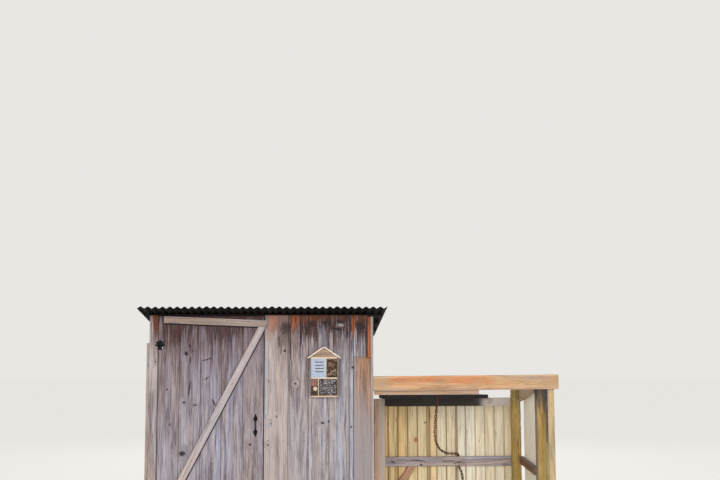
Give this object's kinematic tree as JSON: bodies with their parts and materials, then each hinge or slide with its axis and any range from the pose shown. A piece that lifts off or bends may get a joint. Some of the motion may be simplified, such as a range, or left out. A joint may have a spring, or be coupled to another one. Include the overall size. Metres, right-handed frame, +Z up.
{
  "type": "wooden outhouse",
  "caption": "Weathered board outhouse with a ledged and braced plank door, a corrugated lean-to roof, a wall-hung insect house and an open board lean-to at its side.",
  "frame": {"origin": "on the ground, at the middle of the house's plan, on the underside of the middle skid", "axes": "+X to the right along the front wall, +Y from the front to the back, +Z up"},
  "size_m": [4.038, 1.9228, 2.2685],
  "materials": {
    "weathered_boards": "grey weathered softwood, matt",
    "door_boards": "grey weathered softwood, matt",
    "ledge_wood": "pale weathered softwood, matt",
    "patch_wood": "brown, less weathered softwood, matt",
    "frame_wood": "bare sawn softwood, matt",
    "floor_wood": "worn sawn softwood, matt",
    "roof_metal": "dark weathered corrugated steel, dull",
    "iron": "black iron, satin",
    "rusty_iron": "rusted iron, rough",
    "bug_wood": "planed pale pine, matt",
    "bug_white": "white paint on wood, matt",
    "bug_cane": "cut cane ends, matt",
    "bug_block": "red brown block, matt",
    "bug_twig": "grey bark, matt",
    "header_wood": "orange tan sawn softwood, matt",
    "post_wood": "green brown treated post, matt",
    "pale_wood": "pale yellow treated boards, matt",
    "bay_rail_wood": "grey brown weathered rail, matt",
    "dark_planks": "dark wet plank, matt"
  },
  "bodies": {
    "house": {"skids": "floor_wood", "floor_boards": "floor_wood", "corner_posts": "frame_wood", "door_post": "frame_wood", "top_plates": "frame_wood", "wall_girts": "frame_wood", "front_wall_right": "weathered_boards", "front_corner_board": "weathered_boards", "corner_patch_board": "patch_wood", "left_wall": "weathered_boards", "right_wall": "weathered_boards", "back_wall": "weathered_boards", "jamb_lath": "ledge_wood", "rafters": "frame_wood", "purlins": "frame_wood", "roof_sheets": "roof_metal", "hinge_frame_plates": "iron", "latch_keeper": "iron", "insect_house_box": "bug_wood", "insect_house_roof": "bug_wood", "insect_house_panel": "bug_white", "insect_house_canes": "bug_cane", "insect_house_block": "bug_block", "insect_house_twigs": "bug_twig", "bay_header": "header_wood", "bay_ledger": "header_wood", "bay_front_post": "post_wood", "bay_left_post": "bay_rail_wood", "bay_round_post": "post_wood", "bay_back_boards": "pale_wood", "bay_back_rails": "bay_rail_wood", "bay_side_boards": "pale_wood", "bay_side_rails": "bay_rail_wood", "bay_corner_trim": "pale_wood", "bay_knee_brace": "bay_rail_wood", "bay_roof_planks": "dark_planks", "bay_chain": "rusty_iron", "chain_nail": "rusty_iron"},
    "door": {"door_leaf": "door_boards", "door_ledges": "ledge_wood", "door_brace": "ledge_wood", "hinge_door_plates": "iron", "latch_handle": "iron"}
  },
  "joints": [
    {"name": "door_hinge", "type": "hinge", "parent": "house", "child": "door", "pos_m": [-0.977, -0.764, 1.19], "axis": [0, 0, 1], "range_deg": [-110, 0]}
  ]
}
